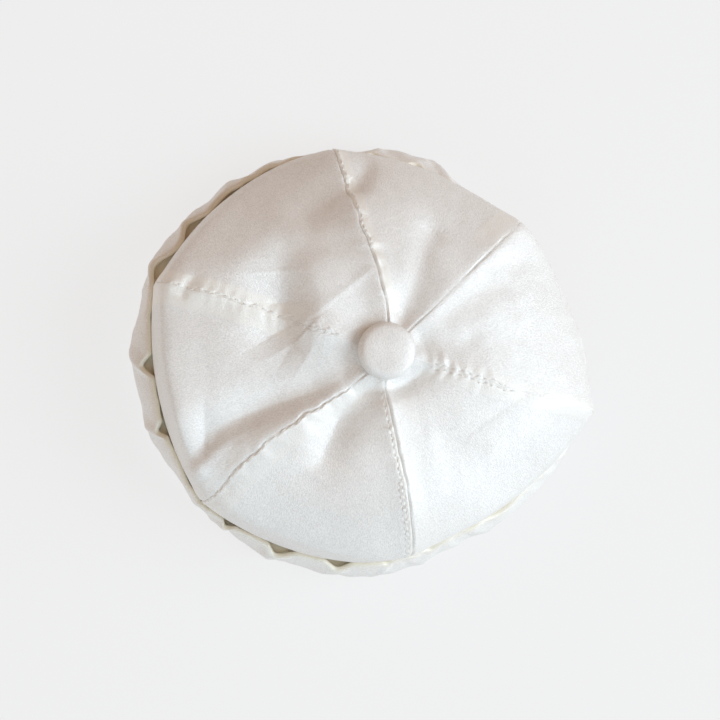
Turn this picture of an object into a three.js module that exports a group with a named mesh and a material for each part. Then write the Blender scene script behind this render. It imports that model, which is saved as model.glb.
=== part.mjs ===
// Kippah skullcap: six satin gores sewn into a soft crown, a folded binding round the rim
// and a cloth-covered button on top.
// Millimetres, +Z up. The origin is on the floor under the middle of the cap.
import * as THREE from "three";

// Driving sizes
const clothWall = 1.2;
const fitGap = 0.3;
const buttonDiameter = 20.4;
const buttonFoot = 45.2;
const buttonHeight = 5.8;
const shankRadius = 1.5;
const shankTop = buttonFoot + 0.2;
const knotRadius = 3.4;
const knotThickness = 1.0;
const knotTop = 42.6;

// Grid of each piece
const rowsAlongPanel = 22;
const columnsAcrossPanel = 8;
const stepsRoundBand = 112;
const stepsRoundButton = 32;

// Seams of the crown, counter-clockwise from above. The azimuth is where a seam meets the rim,
// lean is how far it swings round near the button and bow how far at mid length, all in degrees.
// Reach is the half width of the crown there, shoulder how square its edge is (0 domed, 1 square)
// and crest the height of the broad rib that the sewn layers hold up along the seam.
const SEAMS = [
  { azimuth: -13.5, reach: 84.8, shoulder: 0.4, lean: -1, bow: -1.4, crest: 0.3 },
  { azimuth: 42.8, reach: 73.6, shoulder: 0.5, lean: -3, bow: 0.5, crest: 0.5 },
  { azimuth: 101.2, reach: 76.2, shoulder: 0.3, lean: -28, bow: 0, crest: 0.8 },
  { azimuth: 163.6, reach: 82.3, shoulder: 1.0, lean: 2, bow: -1.8, crest: 0.5 },
  { azimuth: 220.6, reach: 80.8, shoulder: 0.5, lean: 17, bow: -4.5, crest: 1.5 },
  { azimuth: 280.6, reach: 73.2, shoulder: 0.5, lean: -16, bow: 0, crest: 0.6 },
];

// Panels between one seam and the next. The azimuth is where the edge comes closest to the
// button, reach its half width there and sag how far the cloth hangs between the ribs.
const PANELS = [
  { azimuth: 31, reach: 75.4, shoulder: 0.4, sag: 0.8 },
  { azimuth: 62, reach: 71.2, shoulder: 0.5, sag: 1.0 },
  { azimuth: 115, reach: 76.7, shoulder: 0.1, sag: 1.2 },
  { azimuth: 195, reach: 78.3, shoulder: 1.0, sag: 0.8 },
  { azimuth: 264, reach: 74.9, shoulder: 0.6, sag: 1.5 },
  { azimuth: 293, reach: 71.8, shoulder: 0.5, sag: 1.2 },
];

// Section of the crown from the button hole to the raw edge: share of the reach, then the height
// where the edge is domed and where it is square.
const SECTION = [
  { share: 0.028, domed: 44.2, square: 44.2 },
  { share: 0.12, domed: 44.7, square: 44.7 },
  { share: 0.28, domed: 45.5, square: 45.0 },
  { share: 0.46, domed: 44.1, square: 43.9 },
  { share: 0.64, domed: 40.6, square: 42.7 },
  { share: 0.8, domed: 35.2, square: 41.4 },
  { share: 0.96, domed: 24.4, square: 40.0 },
  { share: 1.0, domed: 19.0, square: 36.0 },
  { share: 1.004, domed: 16.2, square: 28.0 },
  { share: 0.997, domed: 12.5, square: 14.0 },
  { share: 0.975, domed: 6.0, square: 6.0 },
  { share: 0.95, domed: 1.8, square: 1.8 },
];
const rawEdgeShare = SECTION[SECTION.length - 1].share;
// Part of the section over which its slope is taken.
const slopeStep = 0.002;
// Ribs, sagging and folds start outside the button and end above the rim, as shares of the reach
// on top and as a height at the side.
const swell = { from: 0.1, full: 0.2, fadeHeight: 30, endHeight: 16 };
// A rib is narrower where the panels beside it are narrow.
const ribHalfWidth = 5;
const ribShareOfPanel = 0.25;

// Dents and folds as paths on the crown seen from above. Each place of a path has its azimuth,
// radius and lift (down where it is negative). Left and right are the half widths on either hand
// going along the path, and power is 2 for a rounded fold and near 1 for a sharp crease.
const FOLDS = [
  { name: "pinch by seam 4", left: 6.5, right: 12, power: 1.7,
    path: [[143, 47, -1.6], [155, 40.5, -4.8], [168, 37, -5.0], [176, 33, -2.7], [182, 27, -0.5]] },
  { name: "bulge past the pinch", left: 12, right: 6, power: 2,
    path: [[133, 37.5, 2.0], [142, 29, 2.2], [160, 24.5, 1.8]] },
  { name: "crease in panel 3", left: 2, right: 1.3, power: 1.5,
    path: [[160, 30, 0.22], [101, 29, 0.3]] },
  { name: "swell in panel 3", left: 9, right: 8, power: 2,
    path: [[158, 67, 1.2], [124, 55, 1.2]] },
  { name: "dent left of seam 3", left: 8, right: 5.5, power: 2,
    path: [[117.5, 57, -3.0], [103, 61, -3.8]] },
  { name: "dimple right of seam 3", left: 4, right: 4, power: 2,
    path: [[97, 62, -1.6], [94, 67, -1.6]] },
  { name: "dimple on seam 4", left: 2.5, right: 2.5, power: 2,
    path: [[161, 72, -0.8], [164, 74, -0.8]] },
  { name: "crease in panel 4", left: 4, right: 3.5, power: 1.2,
    path: [[192, 65, -0.1], [200, 67.5, -0.6], [207.5, 71.2, -1.8], [210, 72.5, -1.2]] },
  { name: "valley over seam 5", left: 5.5, right: 11, power: 1.7,
    path: [[212, 19, -1.4], [210.5, 28, -3.4], [206, 42, -4.2], [204.8, 54, -3.4], [205, 64, -2.0]] },
  { name: "swell beside seam 5", left: 5, right: 3.5, power: 2,
    path: [[212.5, 42, 0.4], [211.2, 54, 0.9], [210.9, 66, 1.5], [212.8, 76, 2.4]] },
  { name: "foot of seam 5", left: 4.5, right: 4.5, power: 2,
    path: [[219.5, 66, -0.6], [220.3, 73, -1.6], [220.6, 80, -1.8]] },
  { name: "valley in panel 5", left: 7.5, right: 7, power: 1.7,
    path: [[233, 19, -2.6], [236.5, 29, -4.2], [240.5, 42, -2.6], [240, 50, -0.6]] },
  { name: "ridge in panel 6", left: 4, right: 4, power: 2,
    path: [[306, 25, 0.3], [291, 59, 0.3]] },
  { name: "crease in panel 6", left: 4, right: 5, power: 1,
    path: [[344, 54, -0.4], [311, 42, -0.4]] },
  { name: "hollow by the button", left: 4, right: 5, power: 2,
    path: [[288, 12, -2.2], [323, 12.5, -2.4], [339, 19, -1.2]] },
  { name: "fold above seam 1", left: 4, right: 4, power: 2,
    path: [[12, 14, -0.7], [8, 30, -0.4]] },
  { name: "fold in panel 1", left: 5, right: 5, power: 2,
    path: [[31, 14, -0.7], [31, 46, -0.5]] },
  { name: "dimple in panel 1", left: 4, right: 4, power: 2,
    path: [[33, 60, -0.4], [33, 63, -0.4]] },
  { name: "fold in panel 2", left: 5, right: 5, power: 2,
    path: [[60.5, 17, -1.0], [67, 47, -0.9]] },
];

// How far the widest line of the rim cuff stands out from the crown, by azimuth.
const CUFF = [
  { azimuth: 2, stand: 5.8 },
  { azimuth: 14, stand: 5.2 },
  { azimuth: 31, stand: 1.4 },
  { azimuth: 44, stand: 2.8 },
  { azimuth: 57, stand: 3.8 },
  { azimuth: 72, stand: 7.4 },
  { azimuth: 106, stand: 0.5 },
  { azimuth: 121, stand: 3.0 },
  { azimuth: 154, stand: 4.2 },
  { azimuth: 164, stand: 2.4 },
  { azimuth: 180, stand: 6.1 },
  { azimuth: 196, stand: 4.9 },
  { azimuth: 219, stand: 0.9 },
  { azimuth: 250, stand: 4.2 },
  { azimuth: 282, stand: 5.6 },
  { azimuth: 298, stand: 5.0 },
  { azimuth: 319, stand: 6.3 },
  { azimuth: 346, stand: 2.2 },
];

// Pockets where the lip of the cuff leaves the crown: how many degrees each runs before and after
// its widest place, and its opening there in millimetres. A pocket leans as it goes down the cuff.
const POCKETS = [
  { azimuth: 75, before: 3, after: 4, open: 1.4 },
  { azimuth: 88, before: 3, after: 4, open: 1.6 },
  { azimuth: 118, before: 4, after: 9, open: 1.4 },
  { azimuth: 131, before: 4, after: 9, open: 1.5 },
  { azimuth: 144, before: 6, after: 6, open: 2.2 },
  { azimuth: 158, before: 7, after: 6, open: 2.8 },
  { azimuth: 183, before: 3.5, after: 3.5, open: 3.2 },
  { azimuth: 200, before: 2.6, after: 2.6, open: 2.6 },
  { azimuth: 230, before: 2.2, after: 2.5, open: 1.7 },
  { azimuth: 245, before: 3.5, after: 6, open: 3.0 },
  { azimuth: 262, before: 5, after: 5, open: 2.2 },
  { azimuth: 276, before: 2, after: 2, open: 0.8 },
  { azimuth: 289, before: 3, after: 4, open: 1.2 },
  { azimuth: 312, before: 8, after: 9, open: 1.5 },
  { azimuth: 335, before: 6, after: 6, open: 0.8 },
];
const pocketSlant = 6;
const lipDropPerOpening = 0.5;

// Section round the folded binding, from its inner bottom corner outwards. Out is measured from
// that share of the crown's reach, and up from the floor. Stand and open say how much of the cuff's
// standing out and of a pocket's opening each point takes, drop how much of the lip's drop. The hem
// turned in under the lip lies against the crown and is the floor of the pockets.
const BINDING = [
  { share: 0.95, out: -2.9, up: 0, stand: 0, open: 0, drop: 0 },
  { share: 1, out: -1.5, up: 0, stand: 0.5, open: 0, drop: 0 },
  { share: 1, out: 0.1, up: 1.8, stand: 0.9, open: 0.1, drop: 0 },
  { share: 1, out: 0.5, up: 5.2, stand: 1, open: 0.3, drop: 0 },
  { share: 1, out: 1.1, up: 9.8, stand: 0.65, open: 0.7, drop: 0.5 },
  { share: 1, out: 1.5, up: 13.0, stand: 0.2, open: 1, drop: 1 },
  { share: 1, out: 0.75, up: 13.8, stand: 0.1, open: 1, drop: 1 },
  { share: 1, out: 0.05, up: 13.0, stand: 0.03, open: 1, drop: 1 },
  { share: 1, out: -0.1, up: 9.9, stand: 0.5, open: 0.7, drop: 0.5 },
  { share: 1, out: -0.45, up: 9.2, stand: 0, open: 0, drop: 0.3 },
  { share: 1, out: -0.6, up: 8.2, stand: 0, open: 0, drop: 0.3 },
  { share: 1, out: -0.4, up: 7.7, stand: 0.75, open: 0.4, drop: 0.2 },
  { share: 1, out: -0.7, up: 5.2, stand: 1, open: 0.3, drop: 0 },
  { share: 1, out: -1.0, up: 2.5, stand: 0.85, open: 0.1, drop: 0 },
  { share: 1, out: -2.2, up: 1.3, stand: 0.45, open: 0, drop: 0 },
  { share: 0.95, out: -1.7, up: 1.3, stand: 0, open: 0, drop: 0 },
  { share: 0.95, out: 0.6, up: 8.4, stand: 0, open: 0, drop: 0 },
  { share: 0.95, out: 0.1, up: 9.0, stand: 0, open: 0, drop: 0 },
  { share: 0.95, out: -0.6, up: 8.4, stand: 0, open: 0, drop: 0 },
];
const lipHeight = Math.max(...BINDING.map((row) => row.up));

// Section of the button above its shank: shares of its half width and of its height.
const BUTTON = [
  { across: 0.8, rise: 0 },
  { across: 0.95, rise: 0.12 },
  { across: 1, rise: 0.36 },
  { across: 0.985, rise: 0.6 },
  { across: 0.92, rise: 0.8 },
  { across: 0.8, rise: 0.92 },
  { across: 0.5, rise: 0.985 },
  { across: 0, rise: 1 },
];

const { degToRad, radToDeg, lerp, smoothstep, euclideanModulo } = THREE.MathUtils;
const sum = (values) => values.reduce((total, value) => total + value, 0);

// Smallest turn in degrees from one azimuth to another.
function turnBetween(from, to) {
  return euclideanModulo(to - from + 180, 360) - 180;
}

// The rows of a table on either side of an azimuth, and how far it lies from one to the other.
function rowsAround(rows, azimuth) {
  const ahead = (row) => euclideanModulo(row.azimuth - azimuth, 360);
  const sorted = [...rows].sort((a, b) => ahead(a) - ahead(b));
  const next = sorted[0];
  const last = sorted[sorted.length - 1];
  const span = euclideanModulo(next.azimuth - last.azimuth, 360);
  return { last, next, share: 1 - ahead(next) / span };
}

// A column of a table at any azimuth, eased from one row to the next all the way round.
function roundTable(rows, column, azimuth) {
  const { last, next, share } = rowsAround(rows, azimuth);
  return lerp(last[column], next[column], (1 - Math.cos(Math.PI * share)) / 2);
}

// Half width of the crown at an azimuth of its rim: rounded along the panels, cornered at the seams.
const outline = [...SEAMS, ...PANELS];
function crownReach(azimuth) {
  const { last, next, share } = rowsAround(outline, azimuth);
  const [panel, seam, away] = SEAMS.includes(next) ? [last, next, share] : [next, last, 1 - share];
  return lerp(panel.reach, seam.reach, away ** 2);
}

// Share of the reach and height of the section, from 0 at the button hole to 1 at the raw edge.
const sectionCurve = new THREE.CatmullRomCurve3(
  SECTION.map((row) => new THREE.Vector3(row.share, row.domed, row.square)),
  false,
  "catmullrom",
);
function sectionAt(along, shoulder) {
  const { x: share, y: domed, z: square } = sectionCurve.getPoint(THREE.MathUtils.clamp(along, 0, 1));
  return { share, height: lerp(domed, square, shoulder) };
}

// Azimuth of a seam at a share of the reach.
function seamAzimuth(seam, share) {
  const inner = 1 - Math.min(share / rawEdgeShare, 1);
  return seam.azimuth + seam.lean * inner ** 3 + seam.bow * Math.sin(Math.PI * inner);
}

const polar = (azimuth, radius, height) =>
  new THREE.Vector3(radius * Math.cos(degToRad(azimuth)), radius * Math.sin(degToRad(azimuth)), height);

// Point on a panel before any rib, sag or fold, with its section, the panel's width there
// and the way out of the cloth in the plane through the button's axis. Along runs from 0 at the
// button to 1 at the raw edge, across from 0 at one seam to 1 at the next.
function plainPanel(index, along, across) {
  const first = SEAMS[index];
  const next = SEAMS[(index + 1) % SEAMS.length];
  const wholeTurn = next.azimuth < first.azimuth ? 360 : 0;
  const rimAzimuth = lerp(first.azimuth, next.azimuth + wholeTurn, across);
  const reach = crownReach(rimAzimuth);
  const shoulder = roundTable(outline, "shoulder", rimAzimuth);
  const { share, height } = sectionAt(along, shoulder);
  const radius = share * reach;
  const start = seamAzimuth(first, share);
  const end = seamAzimuth(next, share) + wholeTurn;
  const gapTurn = radToDeg(fitGap / 2 / radius);
  const azimuth = lerp(start + gapTurn, end - gapTurn, across);
  const above = sectionAt(along - slopeStep, shoulder);
  const below = sectionAt(along + slopeStep, shoulder);
  const drop = above.height - below.height;
  const run = reach * (below.share - above.share);
  const normal = polar(azimuth, drop, run).normalize();
  const width = radius * degToRad(end - start);
  return { point: polar(azimuth, radius, height), normal, share, height, width };
}

// Nearest place to a point on one stretch of a fold: its distance, the side of the stretch that the
// point lies on (1 left, -1 right) and the fold's lift there.
function nearestOnStretch([fromAzimuth, fromRadius, fromLift], [toAzimuth, toRadius, toLift], flat) {
  const line = new THREE.Line3(polar(fromAzimuth, fromRadius, 0), polar(toAzimuth, toRadius, 0));
  const share = line.closestPointToPointParameter(flat, true);
  const offset = flat.clone().sub(line.at(share, new THREE.Vector3()));
  const way = line.delta(new THREE.Vector3()).normalize();
  const side = way.cross(offset.clone().normalize()).z;
  return { distance: offset.length(), side, lift: lerp(fromLift, toLift, share) };
}

// Lift of all folds at a point, each by its distance from the fold's path and the side it lies on.
function foldLift({ x, y }) {
  const flat = new THREE.Vector3(x, y, 0);
  return sum(
    FOLDS.map(({ path, left, right, power }) => {
      const places = path.slice(1).map((end, i) => nearestOnStretch(path[i], end, flat));
      const nearest = places.reduce((best, place) => (place.distance < best.distance ? place : best));
      const halfWidth = lerp(right, left, (1 + nearest.side) / 2);
      return nearest.lift * Math.exp(-((nearest.distance / halfWidth) ** power));
    }),
  );
}

// Point on a panel at a depth into its wall.
function panelPoint(index, along, across, depth) {
  const { point, normal, share, height, width } = plainPanel(index, along, across);
  const first = SEAMS[index];
  const next = SEAMS[(index + 1) % SEAMS.length];
  const halfWidth = Math.min(ribHalfWidth, ribShareOfPanel * width);
  const rib = (distance) => Math.exp(-((distance / halfWidth) ** 2));
  const crest = first.crest * rib(across * width) + next.crest * rib((1 - across) * width);
  const sag = PANELS[index].sag * Math.sin(Math.PI * across);
  const softness =
    smoothstep(share, swell.from, swell.full) * smoothstep(height, swell.endHeight, swell.fadeHeight);
  const lift = softness * (crest - sag + foldLift(point));
  return point.addScaledVector(normal, lift - depth);
}

// Solid lofted through closed loops of equally many points. Joined solids run on from the last
// loop to the first. Others are closed at both ends across loops that run out and back.
function loftLoops(loops, joined) {
  const count = loops[0].length;
  const index = [];
  const quad = (a, b, c, d) => index.push(a, b, c, a, c, d);
  const spans = joined ? loops.length : loops.length - 1;
  for (let span = 0; span < spans; span += 1) {
    const here = span * count;
    const there = ((span + 1) % loops.length) * count;
    for (let i = 0; i < count; i += 1) {
      const j = (i + 1) % count;
      quad(here + i, there + i, there + j, here + j);
    }
  }
  if (!joined) {
    const last = (loops.length - 1) * count;
    for (let i = 0; i < count / 2 - 1; i += 1) {
      const back = count - 1 - i;
      quad(i, i + 1, back - 1, back);
      quad(last + i, last + back, last + back - 1, last + i + 1);
    }
  }
  const geometry = new THREE.BufferGeometry().setFromPoints(loops.flat());
  geometry.setIndex(index);
  geometry.computeVertexNormals();
  return geometry;
}

const evenShares = (count) => Array.from({ length: count + 1 }, (_, step) => step / count);

function panelGeometry(index) {
  const loops = evenShares(rowsAlongPanel).map((along) => {
    const columns = evenShares(columnsAcrossPanel);
    const outside = columns.map((across) => panelPoint(index, along, across, 0));
    const inside = columns.map((across) => panelPoint(index, along, across, clothWall));
    return [...outside, ...inside.reverse()];
  });
  return loftLoops(loops, false);
}

// Opening of one pocket at an azimuth, closing smoothly at both its ends.
function pocketOpening(pocket, azimuth) {
  const turn = turnBetween(pocket.azimuth, azimuth);
  const halfWidth = turn < 0 ? pocket.before : pocket.after;
  return pocket.open * (1 - smoothstep(Math.abs(turn), 0, halfWidth));
}

function bandGeometry() {
  const loops = [];
  for (let step = 0; step < stepsRoundBand; step += 1) {
    const azimuth = (360 * step) / stepsRoundBand;
    const reach = crownReach(azimuth);
    const stand = roundTable(CUFF, "stand", azimuth);
    loops.push(
      BINDING.map((row) => {
        const slanted = azimuth + pocketSlant * (1 - row.up / lipHeight);
        const open = sum(POCKETS.map((pocket) => pocketOpening(pocket, slanted)));
        const radius = row.share * reach + row.out + row.stand * stand + row.open * open;
        return polar(azimuth, radius, row.up - row.drop * lipDropPerOpening * open);
      }),
    );
  }
  return loftLoops(loops, true);
}

// Covered button with its shank and the sewn end inside the crown.
function buttonGeometry() {
  const radius = buttonDiameter / 2;
  const profile = [
    new THREE.Vector2(0, knotTop - knotThickness),
    new THREE.Vector2(knotRadius, knotTop - knotThickness),
    new THREE.Vector2(knotRadius, knotTop),
    new THREE.Vector2(shankRadius, knotTop),
    new THREE.Vector2(shankRadius, shankTop),
    ...BUTTON.map((row) => new THREE.Vector2(radius * row.across, buttonFoot + buttonHeight * row.rise)),
  ];
  return new THREE.LatheGeometry(profile, stepsRoundButton).rotateX(Math.PI / 2);
}

function satin(color, roughness) {
  return new THREE.MeshStandardMaterial({ color, roughness, metalness: 0 });
}

function piece(name, geometry, material) {
  const mesh = new THREE.Mesh(geometry, material);
  mesh.name = name;
  return mesh;
}

const cap = new THREE.Group();
cap.name = "kippah";
PANELS.forEach((_, index) => {
  cap.add(piece(`panel_${index + 1}`, panelGeometry(index), satin("#f1ece4", 0.42)));
});
cap.add(piece("rim_band", bandGeometry(), satin("#f2efe3", 0.45)));
cap.add(piece("button", buttonGeometry(), satin("#f0ebe3", 0.45)));

// The outline is not even, so the pieces are moved until the origin is under their middle.
const middle = new THREE.Box3().setFromObject(cap).getCenter(new THREE.Vector3());
cap.children.forEach((mesh) => mesh.geometry.translate(-middle.x, -middle.y, 0));

export default cap;
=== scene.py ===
import math

import bpy
import numpy as np
from mathutils import Matrix, Vector


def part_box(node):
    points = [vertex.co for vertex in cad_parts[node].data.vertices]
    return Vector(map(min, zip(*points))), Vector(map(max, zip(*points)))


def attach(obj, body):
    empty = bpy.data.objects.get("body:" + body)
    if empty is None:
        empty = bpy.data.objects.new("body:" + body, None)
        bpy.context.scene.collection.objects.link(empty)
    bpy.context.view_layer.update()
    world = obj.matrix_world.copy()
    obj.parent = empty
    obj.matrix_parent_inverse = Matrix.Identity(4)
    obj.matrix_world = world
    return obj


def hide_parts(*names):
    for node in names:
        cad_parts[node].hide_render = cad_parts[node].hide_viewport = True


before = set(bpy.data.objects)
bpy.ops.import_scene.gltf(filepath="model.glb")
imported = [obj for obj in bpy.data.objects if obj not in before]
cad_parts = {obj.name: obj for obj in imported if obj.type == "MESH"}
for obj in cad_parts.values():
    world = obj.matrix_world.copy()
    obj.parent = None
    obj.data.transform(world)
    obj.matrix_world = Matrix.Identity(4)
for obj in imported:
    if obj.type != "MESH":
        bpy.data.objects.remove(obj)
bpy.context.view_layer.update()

# Tables and sizes are in millimetres and degrees about the button's axis, and meshes are in metres.
MM = 0.001
BUTTON_LOW, BUTTON_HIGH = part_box("button")
AXIS = np.array([(BUTTON_LOW[0] + BUTTON_HIGH[0]) / 2, (BUTTON_LOW[1] + BUTTON_HIGH[1]) / 2, 0.0])

CLOTH_WALL = 1.2
SEAM_SLIT = 0.03
SHARP_ANGLE = 60

# Grid of each piece. The hidden inner face of a panel has one cell for each block of outer cells.
PANEL_ROWS = 216
PANEL_COLUMNS = 162
INNER_BLOCK = 3
BAND_STEPS = 900
BAND_POINTS_PER_SPAN = 4
BUTTON_STEPS = 160
BUTTON_RINGS = 84
# Share of the columns of a panel that is spread evenly. The rest gathers at its two seams.
EVEN_COLUMNS_SHARE = 0.22
# Steps in which the section is measured, and the reach and shoulder it is measured at.
SECTION_STEPS = 2000
TYPICAL_REACH, TYPICAL_SHOULDER = 78, 0.5
SLOPE_STEP = 0.002


def table(columns, *rows):
    """Rows with named columns."""
    return [dict(zip(columns.split(), row)) for row in rows]


# Seams counter-clockwise from above. The azimuth is where a seam meets the rim, reach the half width
# of the crown there, shoulder how square its edge is, lean and bow swing it round near the button and
# at mid length, crest is the height of the broad rib along it, and wiggle how unevenly it is sewn.
SEAMS = table(
    "azimuth reach shoulder lean bow crest wiggle",
    (-13.5, 84.8, 0.4, -1, -1.4, 0.3, 0.15),
    (42.8, 73.6, 0.5, -3, 0.5, 0.5, 0.05),
    (101.2, 76.2, 0.3, -28, 0, 0.8, 0.22),
    (163.6, 82.3, 1.0, 2, -1.8, 0.5, 0.2),
    (220.6, 80.8, 0.5, 17, -4.5, 1.5, 0.3),
    (280.6, 73.2, 0.5, -16, 0, 0.6, 0.1),
)
# Panels between one seam and the next: where the edge comes closest to the button, and the sagging.
PANELS = table(
    "azimuth reach shoulder sag",
    (31, 75.4, 0.4, 0.8),
    (62, 71.2, 0.5, 1.0),
    (115, 76.7, 0.1, 1.2),
    (195, 78.3, 1.0, 0.8),
    (264, 74.9, 0.6, 1.5),
    (293, 71.8, 0.5, 1.2),
)
# Section of the crown: share of the reach, and the height where the edge is domed and square.
SECTION = table(
    "share domed square",
    (0.028, 44.2, 44.2),
    (0.12, 44.7, 44.7),
    (0.28, 45.5, 45.0),
    (0.46, 44.1, 43.9),
    (0.64, 40.6, 42.7),
    (0.8, 35.2, 41.4),
    (0.96, 24.4, 40.0),
    (1.0, 19.0, 36.0),
    (1.004, 16.2, 28.0),
    (0.997, 12.5, 14.0),
    (0.975, 6.0, 6.0),
    (0.95, 1.8, 1.8),
)
RAW_EDGE_SHARE = SECTION[-1]["share"]
CREST_HALF_WIDTH, CREST_SHARE = 5, 0.25
# Where each kind of relief fades: shares of the reach and heights, from none of it to all of it.
FADES = {
    "swell": {"share": (0.1, 0.2), "height": (16, 30)},
    "sewn": {"share": (0.1, 0.16), "height": (8, 14)},
    "cloth": {"share": (0.13, 0.3), "height": (12, 24)},
}
# Fine unevenness of the cloth: size, length of its waves, and first seed.
CLOTH_RIPPLES = table(
    "size wavelength seed",
    (0.10, 24, 40),
    (0.025, 8, 50),
)

# Dents and folds: half widths on the left and right hand of a path seen from above, and the places on
# the path with their azimuth, radius and lift. The power is 2 for a rounded fold and 1 for a sharp crease.
FOLDS = table(
    "name left right power path",
    ("pinch by seam 4", 6.5, 12, 1.7,
     ((143, 47, -1.6), (155, 40.5, -4.8), (168, 37, -5.0), (176, 33, -2.7), (182, 27, -0.5))),
    ("bulge past the pinch", 12, 6, 2,
     ((133, 37.5, 2.0), (142, 29, 2.2), (160, 24.5, 1.8))),
    ("crease in panel 3", 2, 1.3, 1.5,
     ((160, 30, 0.22), (101, 29, 0.3))),
    ("swell in panel 3", 9, 8, 2,
     ((158, 67, 1.2), (124, 55, 1.2))),
    ("dent left of seam 3", 8, 5.5, 2,
     ((117.5, 57, -3.0), (103, 61, -3.8))),
    ("dimple right of seam 3", 4, 4, 2,
     ((97, 62, -1.6), (94, 67, -1.6))),
    ("dimple on seam 4", 2.5, 2.5, 2,
     ((161, 72, -0.8), (164, 74, -0.8))),
    ("crease in panel 4", 4, 3.5, 1.2,
     ((192, 65, -0.1), (200, 67.5, -0.6), (207.5, 71.2, -1.8), (210, 72.5, -1.2))),
    ("valley over seam 5", 5.5, 11, 1.7,
     ((212, 19, -1.4), (210.5, 28, -3.4), (206, 42, -4.2), (204.8, 54, -3.4), (205, 64, -2.0))),
    ("swell beside seam 5", 5, 3.5, 2,
     ((212.5, 42, 0.4), (211.2, 54, 0.9), (210.9, 66, 1.5), (212.8, 76, 2.4))),
    ("foot of seam 5", 4.5, 4.5, 2,
     ((219.5, 66, -0.6), (220.3, 73, -1.6), (220.6, 80, -1.8))),
    ("valley in panel 5", 7.5, 7, 1.7,
     ((233, 19, -2.6), (236.5, 29, -4.2), (240.5, 42, -2.6), (240, 50, -0.6))),
    ("ridge in panel 6", 4, 4, 2,
     ((306, 25, 0.3), (291, 59, 0.3))),
    ("crease in panel 6", 4, 5, 1,
     ((344, 54, -0.4), (311, 42, -0.4))),
    ("hollow by the button", 4, 5, 2,
     ((288, 12, -2.2), (323, 12.5, -2.4), (339, 19, -1.2))),
    ("fold above seam 1", 4, 4, 2,
     ((12, 14, -0.7), (8, 30, -0.4))),
    ("fold in panel 1", 5, 5, 2,
     ((31, 14, -0.7), (31, 46, -0.5))),
    ("dimple in panel 1", 4, 4, 2,
     ((33, 60, -0.4), (33, 63, -0.4))),
    ("fold in panel 2", 5, 5, 2,
     ((60.5, 17, -1.0), (67, 47, -0.9))),
)

# Both sides of each seam, before and after it counter-clockwise: depth of the sewn crevice, width and
# rise of the pressed allowance under the cloth, height of the rolled edge beside the seam, puckering
# and the share of the reach where it calms down, how cream the doubled cloth looks, and the share of
# the reach where the allowance starts to show.
EDGES = table(
    "seam side crevice width raised ridge pucker calm cream start",
    (1, "before", 0.10, 5.0, 0.05, 0.00, 0.13, 0.5, 0.5, 0.2),
    (1, "after", 0.10, 4.0, 0.04, 0.00, 0.13, 0.5, 0.3, 0.2),
    (2, "before", 0.60, 2.0, 0.00, 0.00, 0.03, 1.1, 0.0, 0.2),
    (2, "after", 0.20, 8.5, 0.07, 0.00, 0.03, 1.1, 0.5, 0.75),
    (3, "before", 0.30, 4.5, 0.04, 0.38, 0.10, 1.1, 0.8, 0.2),
    (3, "after", 0.40, 1.5, 0.00, 0.00, 0.06, 1.1, 0.0, 0.2),
    (4, "before", 0.04, 5.5, 0.05, 0.03, 0.09, 1.1, 0.8, 0.4),
    (4, "after", 0.05, 7.0, 0.05, 0.03, 0.09, 1.1, 0.7, 0.4),
    (5, "before", 0.45, 5.5, 0.10, 0.00, 0.06, 1.1, 0.2, 0.6),
    (5, "after", 0.50, 8.5, 0.05, 0.32, 0.10, 1.1, 0.4, 0.2),
    (6, "before", 0.35, 2.6, 0.03, 0.00, 0.09, 1.1, 0.6, 0.2),
    (6, "after", 0.25, 9.5, 0.05, 0.30, 0.03, 1.1, 0.2, 0.2),
)
# Places and half widths of that relief beside the seam, and the length and strength of its waves along
# the seam. Each wave has a seed of its own, counted up from the first seed of its seam.
EDGE_SEED, EDGE_SEED_STEP = 100, 10
CREVICE_HALF_WIDTH, CREVICE_WAVELENGTH, CREVICE_WAVE = 0.42, 13, 0.25
ROLL_SHARE, ROLL_HALF_WIDTH = 0.4, 1.2
ALLOWANCE_WAVELENGTH, ALLOWANCE_WAVE = 30, 0.05
STEP_HALF_WIDTH = 0.7
RIDGE_PLACE, RIDGE_HALF_WIDTH = 0.9, 0.75
RIDGE_WAVELENGTH, RIDGE_WAVE = 6, 0.3
PUCKER_PLACE, PUCKER_HALF_WIDTH = 0.8, 3.4
PUCKER_WAVELENGTH, PUCKER_STRETCH, PUCKER_GROUP_WAVELENGTH, PUCKER_GROUP_WAVE = 4.5, 0.4, 24, 0.5
CREAM_FADE_INSIDE, CREAM_FADE_OUTSIDE = 1.2, 0.6
# Half the share of the reach over which an allowance comes in and puckers calm down.
FADE_SHARE = 0.08
# Length of the seams' wiggles and where they begin and are full, as shares of the reach.
WIGGLE_LENGTH = 0.12
WIGGLE_FROM, WIGGLE_FULL = 0.15, 0.3

# Rows of stitches beside the seams: distance from the seam, shares of the reach where the row starts
# and ends, pitch, and how far stitches wander to either side.
STITCH_ROWS = table(
    "seam side distance start end pitch wander",
    (1, "before", 0.9, 0.20, 0.62, 2.6, 0.35),
    (1, "after", 0.8, 0.22, 0.56, 3.1, 0.30),
    (3, "before", 0.8, 0.48, 0.99, 2.4, 0.35),
    (4, "before", 0.7, 0.20, 0.99, 3.4, 0.45),
    (4, "after", 0.7, 0.22, 0.42, 2.7, 0.40),
    (5, "after", 0.5, 0.20, 0.99, 3.6, 0.12),
    (6, "before", 1.4, 0.19, 0.99, 2.4, 0.12),
    (6, "before", 2.6, 0.62, 0.98, 2.4, 0.15),
)
STITCH_SEED = 300
# Shares of the pitch that a stitch covers and that it lies off its place.
STITCH_SHARE, STITCH_JITTER = 0.72, 0.12
WANDER_ZIGZAG, WANDER_CHANCE = 0.7, 0.5
THREAD_RADIUS, THREAD_END_AREA = 0.15, 0.05
THREAD_SIDES, THREAD_RINGS = 6, 7
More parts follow.
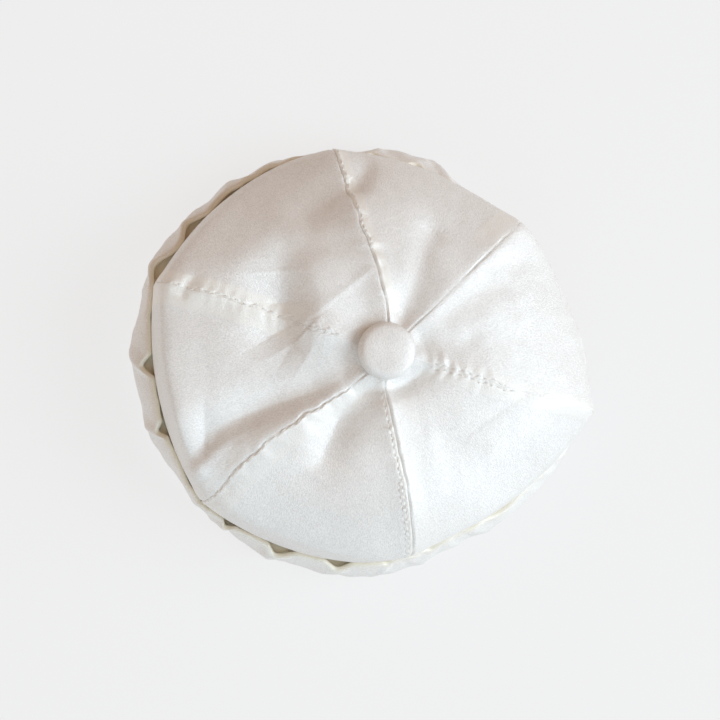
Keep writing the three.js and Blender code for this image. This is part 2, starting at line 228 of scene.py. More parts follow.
# A stitch lies this high on the cloth at its middle, and this much lower at its ends.
THREAD_RISE, THREAD_DIP = 0.16, 0.30
PIT_DEPTH, PIT_RADIUS = 0.20, 0.4
GROOVE_DEPTH, GROOVE_HALF_WIDTH = 0.06, 0.45

# How far the cuff stands out from the crown, round the rim.
CUFF = table(
    "azimuth stand",
    (2, 5.8),
    (14, 5.2),
    (31, 1.4),
    (44, 2.8),
    (57, 3.8),
    (72, 7.4),
    (106, 0.5),
    (121, 3.0),
    (154, 4.2),
    (164, 2.4),
    (180, 6.1),
    (196, 4.9),
    (219, 0.9),
    (250, 4.2),
    (282, 5.6),
    (298, 5.0),
    (319, 6.3),
    (346, 2.2),
)
# Pockets where the lip of the cuff leaves the crown: their width to both sides, and how far they open.
POCKETS = table(
    "azimuth before after open",
    (75, 3, 4, 1.4),
    (88, 3, 4, 1.6),
    (118, 4, 9, 1.4),
    (131, 4, 9, 1.5),
    (144, 6, 6, 2.2),
    (158, 7, 6, 2.8),
    (183, 3.5, 3.5, 3.2),
    (200, 2.6, 2.6, 2.6),
    (230, 2.2, 2.5, 1.7),
    (245, 3.5, 6, 3.0),
    (262, 5, 5, 2.2),
    (276, 2, 2, 0.8),
    (289, 3, 4, 1.2),
    (312, 8, 9, 1.5),
    (335, 6, 6, 0.8),
)
LIP_DROP_PER_OPENING = 0.5
# Degrees that a pocket swings round from the lip down to the floor.
POCKET_SLANT = 6
# Small waves in the cuff: size, length and slant in degrees, seed, and how far they may go inwards.
FLUTTER_SIZE, FLUTTER_WAVELENGTH, FLUTTER_SLANT, FLUTTER_SEED = 0.35, 8, 0.5, 70
FLUTTER_INWARD_LIMIT = 0.1
# Round the folded binding: share of the reach, out from it, up, the shares that each point takes of
# the standing out, the opening and the drop, and how much painted warm cream shade the cloth takes
# there, standing for light bounced round inside the pockets on the inner faces of the cuff. The
# turned-in hem of the cuff lies against the crown under the lip and is the floor of the pockets.
BINDING = table(
    "share out up stand open drop cream",
    (0.95, -2.9, 0, 0, 0, 0, 0.5),
    (1, -1.5, 0, 0.5, 0, 0, 0),
    (1, 0.1, 1.8, 0.9, 0.1, 0, 0),
    (1, 0.5, 5.2, 1, 0.3, 0, 0),
    (1, 1.1, 9.8, 0.65, 0.7, 0.5, 0),
    (1, 1.5, 13.0, 0.2, 1, 1, 0.1),
    (1, 0.75, 13.8, 0.1, 1, 1, 0.5),
    (1, -0.4, 13.0, 0.03, 1, 1, 1),
    (1, -0.1, 9.9, 0.5, 0.7, 0.5, 1),
    (1, -0.45, 9.2, 0, 0, 0.3, 1),
    (1, -0.6, 8.2, 0, 0, 0.3, 1),
    (1, -0.4, 7.7, 0.75, 0.4, 0.2, 1),
    (1, -0.7, 5.2, 1, 0.3, 0, 1),
    (1, -1.0, 2.5, 0.85, 0.1, 0, 1),
    (1, -2.2, 1.3, 0.45, 0, 0, 1),
    (0.95, -1.7, 1.3, 0, 0, 0, 1),
    (0.95, 0.6, 8.4, 0, 0, 0, 1),
    (0.95, 0.1, 9.0, 0, 0, 0, 0.5),
    (0.95, -0.6, 8.4, 0, 0, 0, 0.5),
)
BUTTON_RADIUS, BUTTON_FOOT, BUTTON_HEIGHT = 10.2, 45.2, 5.8
BUTTON_POLE_RADIUS = 0.01
# Button from its sewn end inside the crown, over the shank and the rounded edge to its top.
BUTTON = table(
    "across height",
    (0, 41.6),
    (3.4, 41.6),
    (3.4, 42.6),
    (1.5, 42.6),
    (1.5, BUTTON_FOOT + 0.2),
    (0.8 * BUTTON_RADIUS, BUTTON_FOOT),
    (0.95 * BUTTON_RADIUS, BUTTON_FOOT + 0.12 * BUTTON_HEIGHT),
    (BUTTON_RADIUS, BUTTON_FOOT + 0.36 * BUTTON_HEIGHT),
    (0.985 * BUTTON_RADIUS, BUTTON_FOOT + 0.6 * BUTTON_HEIGHT),
    (0.92 * BUTTON_RADIUS, BUTTON_FOOT + 0.8 * BUTTON_HEIGHT),
    (0.8 * BUTTON_RADIUS, BUTTON_FOOT + 0.92 * BUTTON_HEIGHT),
    (0.5 * BUTTON_RADIUS, BUTTON_FOOT + 0.985 * BUTTON_HEIGHT),
    (0, BUTTON_FOOT + BUTTON_HEIGHT),
)


# Spread of the lengths of the waves in a ripple, and a length too short to divide by.
WAVE_SPREAD = (0.7, 1.5)
NO_LENGTH = 1e-9


def bump(distance, half_width):
    return np.exp(-((distance / half_width) ** 2))


def smoothstep(value, low, high):
    share = np.clip((value - low) / (high - low), 0, 1)
    return share * share * (3 - 2 * share)


def turn_between(start, end):
    return np.mod(end - start + 180, 360) - 180


def rows_around(rows, azimuth):
    """Sorted rows, the number of the row before each azimuth, and how far it lies towards the next."""
    rows = sorted(rows, key=lambda row: row["azimuth"] % 360)
    turns = np.array([row["azimuth"] % 360 for row in rows], float)
    turns = np.append(turns, turns[0] + 360)
    azimuth = np.mod(azimuth - turns[0], 360) + turns[0]
    last = np.clip(np.searchsorted(turns, azimuth, side="right") - 1, 0, len(rows) - 1)
    return rows, last, (azimuth - turns[last]) / (turns[last + 1] - turns[last])


def column_of(rows, name):
    """A column with its first value again at the end, for tables that run all the way round."""
    return np.array([row[name] for row in rows] + [rows[0][name]], float)


def round_table(rows, name, azimuth):
    """A column of a table at any azimuth, eased from one row to the next all the way round."""
    rows, last, share = rows_around(rows, azimuth)
    values = column_of(rows, name)
    return values[last] + (values[last + 1] - values[last]) * (1 - np.cos(np.pi * share)) / 2


OUTLINE = [dict(row, seam=1) for row in SEAMS] + [dict(row, seam=0) for row in PANELS]


def crown_reach(azimuth):
    """Half width of the crown at its rim: rounded along the panels, cornered at the seams."""
    rows, last, share = rows_around(OUTLINE, azimuth)
    reach, seam = column_of(rows, "reach"), column_of(rows, "seam")
    to_seam = seam[last + 1] > 0
    panel_reach = np.where(to_seam, reach[last], reach[last + 1])
    seam_reach = np.where(to_seam, reach[last + 1], reach[last])
    return panel_reach + (seam_reach - panel_reach) * np.where(to_seam, share, 1 - share) ** 2


def smooth_through(points, place):
    """Curve through the points, the nth at place n. They carry an extra point at both ends."""
    span = np.clip(place.astype(int), 0, len(points) - 4)
    t = (place - span)[..., None]
    a, b, c, d = (points[span + k] for k in range(4))
    return b + t / 2 * (c - a + t * (2 * a - 5 * b + 4 * c - d + t * (3 * (b - c) + d - a)))


def open_curve(rows):
    """Points of a table's columns, with the first and last span run on past both ends."""
    points = np.array([list(row.values()) for row in rows], float)
    return np.vstack([2 * points[0] - points[1], points, 2 * points[-1] - points[-2]])


def ripples(x, y, wavelength, seed, waves=16):
    """Even noise of about unit size from waves of nearly one length in all directions."""
    chance = np.random.default_rng(seed)
    total = np.zeros(np.broadcast(x, y).shape)
    for _ in range(waves):
        turn, phase = chance.uniform(0, 2 * np.pi, 2)
        pace = 2 * np.pi / (wavelength * chance.uniform(*WAVE_SPREAD))
        total += np.cos(pace * (x * np.cos(turn) + y * np.sin(turn)) + phase)
    return total / math.sqrt(waves / 2)


def polar(azimuth, radius, height):
    turn = np.radians(azimuth)
    return np.stack(np.broadcast_arrays(radius * np.cos(turn), radius * np.sin(turn), height), axis=-1)


SECTION_CURVE = open_curve(SECTION)


def section_at(along, shoulder):
    """Share of the reach and height, from 0 at the button hole to 1 at the raw edge."""
    share, domed, square = np.moveaxis(
        smooth_through(SECTION_CURVE, np.clip(along, 0, 1) * (len(SECTION) - 1)), -1, 0)
    return share, domed + (square - domed) * shoulder


def even_along(count):
    """Places along the section that are about evenly spaced on the cloth."""
    fine = np.linspace(0, 1, SECTION_STEPS)
    share, height = section_at(fine, TYPICAL_SHOULDER)
    steps = np.hypot(np.diff(share) * TYPICAL_REACH, np.diff(height))
    length = np.concatenate([[0], np.cumsum(steps)])
    return np.interp(np.linspace(0, length[-1], count + 1), length, fine)


def seam_azimuth(seam, share):
    """Where a seam runs. The seed of its wiggle comes from its reach in tenths of a millimetre."""
    inner = 1 - np.minimum(share / RAW_EDGE_SHARE, 1)
    wave = seam["wiggle"] * ripples(share, 0 * share, WIGGLE_LENGTH, int(seam["reach"] * 10))
    sway = np.degrees(wave / (seam["reach"] * share)) * smoothstep(share, WIGGLE_FROM, WIGGLE_FULL)
    return seam["azimuth"] + seam["lean"] * inner ** 3 + seam["bow"] * np.sin(np.pi * inner) + sway


def fold_lift(x, y):
    """Sum of all folds, each taken from the nearest place on its path."""
    total = np.zeros(x.shape)
    for fold in FOLDS:
        nearest, lift, half_width = np.full(x.shape, np.inf), np.zeros(x.shape), np.ones(x.shape)
        for (turn_a, radius_a, lift_a), (turn_b, radius_b, lift_b) in zip(fold["path"], fold["path"][1:]):
            start, end = polar(turn_a, radius_a, 0)[:2], polar(turn_b, radius_b, 0)[:2]
            way = end - start
            along = np.clip(((x - start[0]) * way[0] + (y - start[1]) * way[1]) / (way @ way), 0, 1)
            off_x, off_y = x - start[0] - along * way[0], y - start[1] - along * way[1]
            distance = np.hypot(off_x, off_y)
            side = (way[0] * off_y - way[1] * off_x) / np.maximum(distance * math.hypot(*way), NO_LENGTH)
            closer = distance < nearest
            nearest = np.where(closer, distance, nearest)
            lift = np.where(closer, lift_a + (lift_b - lift_a) * along, lift)
            width_here = fold["right"] + (fold["left"] - fold["right"]) * (1 + side) / 2
            half_width = np.where(closer, width_here, half_width)
        total += lift * np.exp(-((nearest / half_width) ** fold["power"]))
    return total


def edge_of(number, side):
    return next(edge for edge in EDGES if (edge["seam"], edge["side"]) == (number, side))


def stitches_of(number, side):
    rows = enumerate(STITCH_ROWS)
    return [(place, row) for place, row in rows if (row["seam"], row["side"]) == (number, side)]


def stitch_places(place, row, share, run):
    """Middle and wander of each stitch of a row, by length along the seam."""
    chance = np.random.default_rng(STITCH_SEED + place)
    first, last = np.interp([row["start"], row["end"]], share, run)
    count = int((last - first) / row["pitch"])
    jitter = chance.uniform(-STITCH_JITTER, STITCH_JITTER, count)
    middles = first + row["pitch"] * (np.arange(count) + 0.5 + jitter)
    zigzag = np.where(np.arange(count) % 2, WANDER_ZIGZAG, -WANDER_ZIGZAG)
    swing = row["wander"] * (zigzag + chance.uniform(-WANDER_CHANCE, WANDER_CHANCE, count))
    return middles, swing


def fade_in(share, start):
    """From 0 to 1 round a share of the reach."""
    return smoothstep(share, start - FADE_SHARE, start + FADE_SHARE)


def edge_relief(edge, stitch_rows, distance, run, share, seed):
    """Relief along one side of a seam: crevice, rolled edge, pressed allowance, puckers and stitch pits."""
    zero = 0 * run
    uneven = ripples(run, zero, CREVICE_WAVELENGTH, seed + 4)
    depth = edge["crevice"] * (1 - CREVICE_WAVE + CREVICE_WAVE * uneven)
    level = -depth * bump(distance, CREVICE_HALF_WIDTH)
    level -= ROLL_SHARE * edge["crevice"] * bump(distance, ROLL_HALF_WIDTH)
    uneven = ripples(run, zero, ALLOWANCE_WAVELENGTH, seed + 2)
    width = edge["width"] * (1 + ALLOWANCE_WAVE * uneven)
    allowance = 1 - smoothstep(distance, width - STEP_HALF_WIDTH, width + STEP_HALF_WIDTH)
    level += fade_in(share, edge["start"]) * edge["raised"] * allowance
    uneven = ripples(run, zero, RIDGE_WAVELENGTH, seed + 1)
    height = edge["ridge"] * (1 - RIDGE_WAVE + RIDGE_WAVE * uneven)
    level += height * bump(distance - RIDGE_PLACE, RIDGE_HALF_WIDTH)
    pull = ripples(run, PUCKER_STRETCH * distance, PUCKER_WAVELENGTH, seed)
    groups = np.abs(ripples(run, zero, PUCKER_GROUP_WAVELENGTH, seed + 3))
    pull = pull * (1 - PUCKER_GROUP_WAVE + PUCKER_GROUP_WAVE * groups)
    calm = 1 - fade_in(share, edge["calm"])
    level += edge["pucker"] * calm * pull * bump(distance - PUCKER_PLACE, PUCKER_HALF_WIDTH)
    for place, row in stitch_rows:
        middles, swing = stitch_places(place, row, share[:, 0], run[:, 0])
        half = STITCH_SHARE * row["pitch"] / 2
        inside = smoothstep(run, middles[0] - row["pitch"], middles[0]) * (
            1 - smoothstep(run, middles[-1], middles[-1] + row["pitch"]))
        level -= GROOVE_DEPTH * inside * bump(distance - row["distance"], GROOVE_HALF_WIDTH)
        for middle, off in zip(middles, swing):
            for end in (middle - half, middle + half):
                gap = np.hypot(run - end, distance - row["distance"] - off)
                level -= PIT_DEPTH * bump(gap, PIT_RADIUS)
    return level


def seam_weighted(count):
    """Places across a panel, closest together at its two seams."""
    even = np.linspace(0, 1, count + 1)
    gathered = 3 * even ** 2 - 2 * even ** 3
    return EVEN_COLUMNS_SHARE * even + (1 - EVEN_COLUMNS_SHARE) * gathered


def length_along(points):
    """Length from the first point to each of the points, as a column."""
    steps = np.linalg.norm(np.diff(points, axis=0), axis=-1)
    return np.concatenate([[0], np.cumsum(steps)])[:, None]


def faded(name, share, height):
    """How strongly a kind of relief shows: nothing close to the button and behind the cuff."""
    fade = FADES[name]
    return smoothstep(share, *fade["share"]) * smoothstep(height, *fade["height"])


def panel_grid(index):
    """A panel's outer and inner points, rows from the button to the rim and columns from seam to seam."""
    number, following = index + 1, (index + 1) % len(SEAMS) + 1
    first, after = SEAMS[index], SEAMS[following - 1]
    whole_turn = 360 if after["azimuth"] < first["azimuth"] else 0
    across = seam_weighted(PANEL_COLUMNS)[None, :]
    along = even_along(PANEL_ROWS)[:, None]
    rim = first["azimuth"] + (after["azimuth"] + whole_turn - first["azimuth"]) * across
    reach, shoulder = crown_reach(rim), round_table(OUTLINE, "shoulder", rim)
    share, height = section_at(along, shoulder)
    share = share + 0 * across
    radius = share * reach
    start, end = seam_azimuth(first, share), seam_azimuth(after, share) + whole_turn
    slit = np.degrees(SEAM_SLIT / 2 / radius)
    azimuth = start + slit + (end - start - 2 * slit) * across
    above, below = section_at(along - SLOPE_STEP, shoulder), section_at(along + SLOPE_STEP, shoulder)
    normal = polar(azimuth, above[1] - below[1], reach * (below[0] - above[0]))
    normal = normal / np.linalg.norm(normal, axis=-1, keepdims=True)
    point = polar(azimuth, radius, height)
    x, y = point[..., 0], point[..., 1]

    width = radius * np.radians(end - start)
    near, far = across * width, (1 - across) * width
    sag = PANELS[index]["sag"] * np.sin(np.pi * across)
    rib = np.minimum(CREST_HALF_WIDTH, CREST_SHARE * width)
    crest = first["crest"] * bump(near, rib) + after["crest"] * bump(far, rib)
    lift = faded("swell", share, height) * (crest - sag + fold_lift(x, y))

    sewn = faded("sewn", share, height)
    cream = np.zeros(x.shape)
    for side, seam_number, distance, column in (("after", number, near, 0), ("before", following, far, -1)):
        edge, rows = edge_of(seam_number, side), stitches_of(seam_number, side)
        run = length_along(point[:, column]) + 0 * across
        seed = EDGE_SEED + EDGE_SEED_STEP * seam_number
        lift = lift + sewn * edge_relief(edge, rows, distance, run, share, seed)
        fade_from, fade_to = edge["width"] - CREAM_FADE_INSIDE, edge["width"] + CREAM_FADE_OUTSIDE
        shows = edge["cream"] * fade_in(share, edge["start"])
        cream = np.maximum(cream, shows * (1 - smoothstep(distance, fade_from, fade_to)))
    uneven = sum(row["size"] * ripples(x, y, row["wavelength"], row["seed"] + index) for row in CLOTH_RIPPLES)
    lift = lift + faded("cloth", share, height) * uneven
    return {
        "outside": point + normal * lift[..., None],
        "inside": point + normal * (lift - CLOTH_WALL)[..., None],
        "plain": point,
        "normal": normal,
        "cream": cream,
        "near": near,
        "far": far,
        "share": share,
    }


def mesh_piece(name, points, faces, material, attributes=None):
    """Smooth mesh in metres round the button's axis, with named values at its points."""
    mesh = bpy.data.meshes.new(name)
    mesh.from_pydata((np.asarray(points).reshape(-1, 3) * MM + AXIS).tolist(), [], faces)
    mesh.polygons.foreach_set("use_smooth", np.ones(len(mesh.polygons), bool))
    mesh.set_sharp_from_angle(angle=math.radians(SHARP_ANGLE))
    for key, values in (attributes or {}).items():
        attribute = mesh.attributes.new(key, "FLOAT", "POINT")
        attribute.data.foreach_set("value", np.ravel(values).astype(np.float32))
    mesh.materials.append(material)
    piece = bpy.data.objects.new(name, mesh)
    bpy.context.scene.collection.objects.link(piece)
    return piece


def grid_faces(ids):
    """Quads of a grid of vertex numbers, facing up where rows run down and columns counter-clockwise."""
    quads = np.stack([ids[:-1, :-1], ids[1:, :-1], ids[1:, 1:], ids[:-1, 1:]], axis=-1)
    return quads.reshape(-1, 4).tolist()


def edge_faces(fine, coarse):
    """Faces between an edge of the outer grid and the coarser edge of the inner grid under it."""
    faces = []
    for k in range(len(coarse) - 1):
        block = fine[k * INNER_BLOCK:(k + 1) * INNER_BLOCK + 1]
        faces.append([int(coarse[k]), *(int(v) for v in block), int(coarse[k + 1])])
    return faces


def panel_mesh(index, grid, material):
    """Closed panel: fine outer face, coarser inner face and the cut edges between them."""
    outside, inside = grid["outside"], grid["inside"][::INNER_BLOCK, ::INNER_BLOCK]
    outer = np.arange(outside[..., 0].size).reshape(outside.shape[:2])
    inner = outer.size + np.arange(inside[..., 0].size).reshape(inside.shape[:2])
    faces = grid_faces(outer) + [face[::-1] for face in grid_faces(inner)]
    faces += edge_faces(outer[0], inner[0])
    faces += [face[::-1] for face in edge_faces(outer[-1], inner[-1])]
    faces += [face[::-1] for face in edge_faces(outer[:, 0], inner[:, 0])]
    faces += edge_faces(outer[:, -1], inner[:, -1])
    points = np.vstack([outside.reshape(-1, 3), inside.reshape(-1, 3)])
    cream = np.concatenate([grid["cream"].ravel(), grid["cream"][::INNER_BLOCK, ::INNER_BLOCK].ravel()])
    return mesh_piece(f"satin_panel_{index + 1}", points, faces, material, {"cream": cream})


def take_between(values, place):
    """Value at a place between two entries."""
    low = min(int(place), len(values) - 2)
    return values[low] + (values[low + 1] - values[low]) * (place - low)


def thread_loops(grid, side, place, row):
    """Rings of points round each stitch of a row, lying on the panel and dipping in at both ends."""
    distance, column = (grid["near"], 0) if side == "after" else (grid["far"], -1)
    outward = slice(None) if side == "after" else slice(None, None, -1)
    run = length_along(grid["plain"][:, column])[:, 0]
    middles, swing = stitch_places(place, row, grid["share"][:, 0], run)
    half = STITCH_SHARE * row["pitch"] / 2
    turns = np.linspace(0, 2 * np.pi, THREAD_SIDES, endpoint=False)
    steps = np.linspace(-1, 1, THREAD_RINGS)
    ends = steps ** 2
    loops = []
    for middle, off in zip(middles, swing):
        spots, ups = [], []
        for step in steps:
            at = np.interp(middle + step * half, run, np.arange(len(run)))
            low = min(int(at), len(run) - 2)
            wanted = row["distance"] + off * (1 - step * step)
            spot, up = [], []
            for line in (low, low + 1):
                place_across = np.interp(wanted, distance[line, outward], np.arange(distance.shape[1]))
                spot.append(take_between(grid["outside"][line, outward], place_across))
                up.append(take_between(grid["normal"][line, outward], place_across))
            spots.append(spot[0] + (spot[1] - spot[0]) * (at - low))
            ups.append(up[0] + (up[1] - up[0]) * (at - low))
        spots, ups = np.array(spots), np.array(ups)
        spots = spots + ups * (THREAD_RISE - THREAD_DIP * ends ** 2)[:, None]
        way = np.gradient(spots, axis=0)
        across = np.cross(way, ups)
        across = across / np.linalg.norm(across, axis=-1, keepdims=True)
        thick = THREAD_RADIUS * np.sqrt(np.clip(1 - ends ** 4, THREAD_END_AREA, 1))
        ring = across[:, None] * np.cos(turns)[None, :, None] + ups[:, None] * np.sin(turns)[None, :, None]
        loops.append(spots[:, None] + ring * thick[:, None, None])
    return loops


def thread_mesh(grids, material):
    """All stitches joined in one mesh of small closed tubes."""
    points, faces = [], []
    for place, row in enumerate(STITCH_ROWS):
        index = row["seam"] - 1 if row["side"] == "after" else (row["seam"] - 2) % len(SEAMS)
        for loops in thread_loops(grids[index], row["side"], place, row):
            ids = len(points) + np.arange(loops[..., 0].size).reshape(loops.shape[:2])
            around = np.concatenate([ids, ids[:, :1]], axis=1)
            faces += grid_faces(around)
            faces += [ids[0].tolist(), ids[-1, ::-1].tolist()]
            points.extend(loops.reshape(-1, 3).tolist())
    return mesh_piece("seam_threads", points, faces, material)


def ring_faces(rows, columns):
    """Quads of closed loops that are joined from the last to the first."""
    here = np.arange(rows * columns).reshape(rows, columns)
    there = np.roll(here, -1, axis=0)
    quads = np.stack([here, there, np.roll(there, -1, axis=1), np.roll(here, -1, axis=1)], axis=-1)
    return quads.reshape(-1, 4).tolist()


def band_loops():
    """Closed loops of the binding's section round the rim, and how much painted warm shade of the pockets
    each point takes.
    """
    azimuth = np.linspace(0, 360, BAND_STEPS, endpoint=False)[:, None]
    rows = np.array([list(row.values()) for row in BINDING], float)
    place = np.linspace(0, len(rows), len(rows) * BAND_POINTS_PER_SPAN, endpoint=False)
    curve = smooth_through(np.vstack([rows[-1:], rows, rows[:2]]), place)
    share, out, up, stands, opens, drops, cream = curve.T[:, None, :]
    lip_height = max(row["up"] for row in BINDING)
    slant = azimuth + POCKET_SLANT * (1 - np.clip(up, 0, lip_height) / lip_height)
    opening = 0 * slant
    for pocket in POCKETS:
        turn = turn_between(pocket["azimuth"], slant)
        half_width = np.where(turn < 0, pocket["before"], pocket["after"])
        opening = opening + pocket["open"] * (1 - smoothstep(np.abs(turn), 0, half_width))
    flutter = ripples(azimuth + FLUTTER_SLANT * up, 0 * up, FLUTTER_WAVELENGTH, FLUTTER_SEED)
    flutter = FLUTTER_SIZE * flutter * np.clip(stands + opens, 0, 1)
    radius = share * crown_reach(azimuth) + out + stands * round_table(CUFF, "stand", azimuth)
    radius = radius + opens * opening + np.maximum(flutter, -FLUTTER_INWARD_LIMIT)
    height = np.maximum(up - drops * LIP_DROP_PER_OPENING * opening, 0)
    return polar(azimuth, radius, height), np.clip(cream, 0, 1) + 0 * azimuth


def node(tree, kind, inputs=None, **values):
    """New node with values set on itself and on its input sockets."""
    made = tree.nodes.new(kind)
    for key, value in values.items():
        setattr(made, key, value)
    for key, value in (inputs or {}).items():
        made.inputs[key].default_value = value
    return made


# Crepe pebbles to a metre along the grain, across it and through the cloth, and their noise.
PEBBLES_PER_METRE = (1400, 2600, 2000)
PEBBLE_NOISE = {"Scale": 1, "Detail": 2.5, "Roughness": 0.6, "Distortion": 0.6}
# Tone and roughness from the gaps between the pebbles to their tops. The tone is partly the weave's own and
# partly painted shade in the gaps and painted light on the tops, in place of the shading of the pebbles'
# bumps.
PEBBLE_TONE_AND_SHADE = {"From Min": 0.32, "From Max": 0.68, "To Min": 0.85, "To Max": 1.06}
PEBBLE_GLINT = {"From Min": 0.3, "From Max": 0.7, "To Min": 0.54, "To Max": 0.4}
CLOUD_NOISE = {"Scale": 45, "Detail": 4}


def satin(name, ivory, shade, cream, grain, pebble_depth):
    """Ivory satin crepe with pebbles drawn out along the grain, which is given in degrees.

    Soft clouds vary its tone, the pebbles carry painted shade low down and painted light on their tops over
    the weave's own tone, and it turns cream where the point attribute of that name is high, which on the
    binding is painted warm shade round the pockets.
    """
    material = bpy.data.materials.new(name)
    material.use_nodes = True
    tree = material.node_tree
    link = tree.links.new
    shader = tree.nodes["Principled BSDF"]

    place = node(tree, "ShaderNodeTexCoord")
    turned = node(tree, "ShaderNodeMapping", {"Rotation": (0, 0, math.radians(-grain))})
    link(place.outputs["Object"], turned.inputs["Vector"])
    drawn = node(tree, "ShaderNodeMapping", {"Scale": PEBBLES_PER_METRE})
    link(turned.outputs["Vector"], drawn.inputs["Vector"])
    pebbles = node(tree, "ShaderNodeTexNoise", PEBBLE_NOISE)
    link(drawn.outputs["Vector"], pebbles.inputs["Vector"])

    clouds = node(tree, "ShaderNodeTexNoise", CLOUD_NOISE)
    link(place.outputs["Object"], clouds.inputs["Vector"])
    tone = node(tree, "ShaderNodeMix", data_type="RGBA")
    tone.inputs["A"].default_value = (*ivory, 1)
    tone.inputs["B"].default_value = (*shade, 1)
    link(clouds.outputs["Fac"], tone.inputs["Factor"])
    # Painted shade between the pebbles and painted light on their tops, over the weave's own tone.
    gap_tone_and_shade = node(tree, "ShaderNodeMapRange", PEBBLE_TONE_AND_SHADE)
    link(pebbles.outputs["Fac"], gap_tone_and_shade.inputs["Value"])
    woven_and_shaded = node(tree, "ShaderNodeVectorMath", operation="SCALE")
    link(tone.outputs["Result"], woven_and_shaded.inputs["Vector"])
    link(gap_tone_and_shade.outputs["Result"], woven_and_shaded.inputs["Scale"])
    doubled = node(tree, "ShaderNodeAttribute", attribute_name="cream")
    creamed = node(tree, "ShaderNodeMix", data_type="RGBA")
    creamed.inputs["B"].default_value = (*cream, 1)
    link(doubled.outputs["Fac"], creamed.inputs["Factor"])
    link(woven_and_shaded.outputs["Vector"], creamed.inputs["A"])
    link(creamed.outputs["Result"], shader.inputs["Base Color"])

    relief = node(tree, "ShaderNodeBump", {"Strength": 1, "Distance": pebble_depth * MM})
    link(pebbles.outputs["Fac"], relief.inputs["Height"])
    link(relief.outputs["Normal"], shader.inputs["Normal"])
    glint = node(tree, "ShaderNodeMapRange", PEBBLE_GLINT)
    link(pebbles.outputs["Fac"], glint.inputs["Value"])
    link(glint.outputs["Result"], shader.inputs["Roughness"])
    floats = node(tree, "ShaderNodeTangent", direction_type="RADIAL", axis="Z")
    link(floats.outputs["Tangent"], shader.inputs["Tangent"])
    shader.inputs["Anisotropic"].default_value = 0.6
    shader.inputs["Anisotropic Rotation"].default_value = 0.25
    shader.inputs["Metallic"].default_value = 0.22
    shader.inputs["Specular IOR Level"].default_value = 0.6
    return material


def direction(bearing, elevation):
    """Unit vector towards a bearing and an elevation in degrees."""
    turn, rise = math.radians(bearing), math.radians(elevation)
    return Vector((math.cos(rise) * math.cos(turn), math.cos(rise) * math.sin(turn), math.sin(rise)))


def face_along(obj, place, back, up):
    """Puts obj at place, looking along minus back, with its top towards up."""
    right = up.cross(back).normalized()
    top = back.cross(right)
    obj.matrix_world = Matrix.Translation(place) @ Matrix((right, top, back)).transposed().to_4x4()


def soft_light(name, bearing, elevation, distance, size, power, color):
    back = direction(bearing, elevation)
    data = bpy.data.lights.new(name, "AREA")
    data.size, data.energy, data.color = size, power, color
    light = bpy.data.objects.new(name, data)
    bpy.context.scene.collection.objects.link(light)
    face_along(light, back * distance, back, LIGHT_TOP)


IVORY, IVORY_SHADE, IVORY_CREAM = (0.90, 0.885, 0.86), (0.875, 0.855, 0.825), (0.91, 0.885, 0.83)
# Painted warm shade for the inner faces of the cuff, standing for light bounced round the pockets.
POCKET_PAINTED_SHADE = (0.86, 0.78, 0.60)
THREAD_WHITE = (0.90, 0.89, 0.86)
PANEL_PEBBLES, BINDING_PEBBLES, BUTTON_PEBBLES, THREAD_PEBBLES = 0.2, 0.05, 0.14, 0.05
BINDING_GRAIN, BUTTON_GRAIN, THREAD_GRAIN = 20, 70, 0

# Crown panels
grids = [panel_grid(index) for index in range(len(PANELS))]
for index, grid in enumerate(grids):
    first, after = SEAMS[index], SEAMS[(index + 1) % len(SEAMS)]
    grain = first["azimuth"] + turn_between(first["azimuth"], after["azimuth"]) / 2
    cloth = satin(f"satin_panel_{index + 1}", IVORY, IVORY_SHADE, IVORY_CREAM, grain, PANEL_PEBBLES)
    panel = panel_mesh(index, grid, cloth)
    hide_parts(f"panel_{index + 1}")
    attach(panel, "root")

# Stitches on the seams
thread = satin("seam_thread", THREAD_WHITE, IVORY, THREAD_WHITE, THREAD_GRAIN, THREAD_PEBBLES)
threads = thread_mesh(grids, thread)
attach(threads, "root")

# Rim binding
# Its cream attribute marks painted warm shade on the inner faces of the cuff, round the pockets.
loops, cream = band_loops()
binding = satin("satin_binding", IVORY, IVORY_SHADE, POCKET_PAINTED_SHADE, BINDING_GRAIN, BINDING_PEBBLES)
band = mesh_piece("satin_binding", loops, ring_faces(*loops.shape[:2]), binding, {"cream": cream})
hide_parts("rim_band")
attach(band, "root")

# Covered button
profile = open_curve(BUTTON)
profile[0], profile[-1] = profile[1], profile[-2]
rings = smooth_through(profile, np.linspace(0, len(BUTTON) - 1, BUTTON_RINGS))
turns = np.linspace(0, 360, BUTTON_STEPS, endpoint=False)[:, None]
loops = polar(turns, np.maximum(rings[:, 0], BUTTON_POLE_RADIUS)[None, :], rings[None, :, 1])
ids = np.arange(BUTTON_STEPS * BUTTON_RINGS).reshape(BUTTON_STEPS, BUTTON_RINGS)
faces = [face[::-1] for face in grid_faces(np.vstack([ids, ids[:1]]).T)]
cover = satin("satin_button", IVORY, IVORY_SHADE, IVORY, BUTTON_GRAIN, BUTTON_PEBBLES)
button = mesh_piece("covered_button", loops, faces, cover)
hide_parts("button")
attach(button, "root")

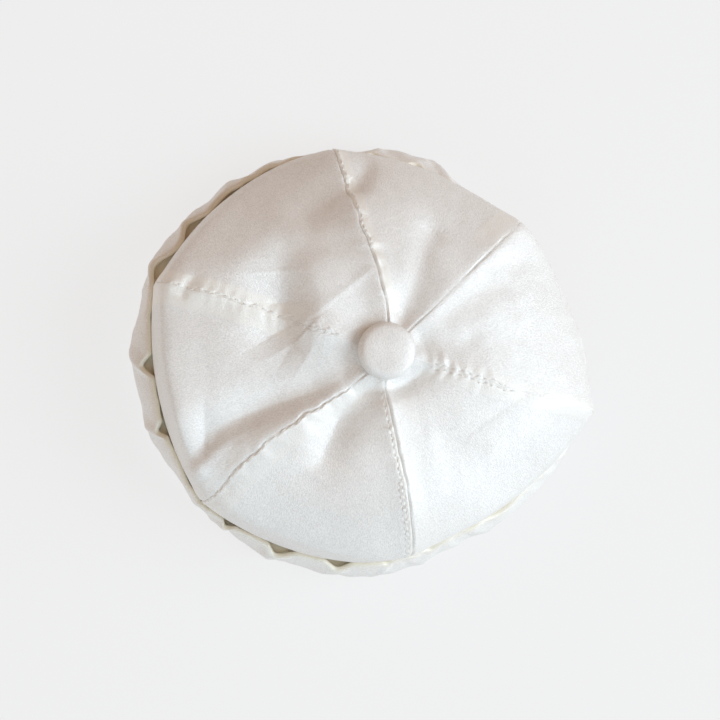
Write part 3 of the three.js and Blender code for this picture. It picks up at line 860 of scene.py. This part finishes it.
# Pale floor that glows a little, so that it stays even under the cap's soft shadow
FLOOR_HALF_WIDTH = 3
FLOOR_GREY, FLOOR_ROUGHNESS, FLOOR_GLOW = 0.13, 0.9, 0.735
corners = [(x * FLOOR_HALF_WIDTH, y * FLOOR_HALF_WIDTH, 0) for x, y in ((-1, -1), (1, -1), (1, 1), (-1, 1))]
floor_mesh = bpy.data.meshes.new("floor")
floor_mesh.from_pydata(corners, [], [(0, 1, 2, 3)])
floor = bpy.data.objects.new("floor", floor_mesh)
bpy.context.scene.collection.objects.link(floor)
pale = bpy.data.materials.new("pale_floor")
pale.use_nodes = True
pale_shader = pale.node_tree.nodes["Principled BSDF"]
pale_shader.inputs["Base Color"].default_value = (FLOOR_GREY, FLOOR_GREY, FLOOR_GREY, 1)
pale_shader.inputs["Roughness"].default_value = FLOOR_ROUGHNESS
pale_shader.inputs["Emission Color"].default_value = (1.0, 1.0, 1.0, 1)
pale_shader.inputs["Emission Strength"].default_value = FLOOR_GLOW
floor_mesh.materials.append(pale)

# Camera, as the photo was taken: its target is set off from the button's axis
VIEW_TARGET = Vector(AXIS) + Vector((-2.99, -0.97, 15.0)) * MM
VIEW_DISTANCE = 0.75
VIEW_ELEVATION, VIEW_BEARING = 78, 200.3
SENSOR_WIDTH = 36
MILLIMETRES_PER_PIXEL = 0.3667
IMAGE_PIXELS = 720
camera = bpy.data.objects.new("camera", bpy.data.cameras.new("camera"))
camera.data.sensor_width = SENSOR_WIDTH
camera.data.lens = SENSOR_WIDTH * VIEW_DISTANCE / MM / MILLIMETRES_PER_PIXEL / IMAGE_PIXELS
bpy.context.scene.collection.objects.link(camera)
toward = direction(VIEW_BEARING, VIEW_ELEVATION)
face_along(camera, VIEW_TARGET + VIEW_DISTANCE * toward, toward, Vector((0, 1, 0)))
bpy.context.scene.camera = camera

# Soft lights and a plain warm sky. The bearing and elevation are where a light stands.
LIGHTS = table(
    "name bearing elevation distance size power color",
    ("key", 355, 36, 1.5, 1.3, 23.0, (0.72, 0.88, 1.0)),
    ("cool_fill", 262, 36, 1.5, 1.2, 4.5, (0.25, 0.70, 1.0)),
    ("left_fill", 228, 52, 1.5, 1.2, 5.4, (0.72, 0.90, 1.0)),
)
LIGHT_TOP = Vector((0.1, 0.2, 1))
SKY_COLOR, SKY_STRENGTH = (1.0, 0.65, 0.43), 0.4
for row in LIGHTS:
    soft_light(**row)
world = bpy.data.worlds.new("studio")
bpy.context.scene.world = world
world.use_nodes = True
sky = world.node_tree.nodes["Background"]
sky.inputs["Color"].default_value = (*SKY_COLOR, 1)
sky.inputs["Strength"].default_value = SKY_STRENGTH
bpy.context.scene.view_settings.view_transform = "Standard"
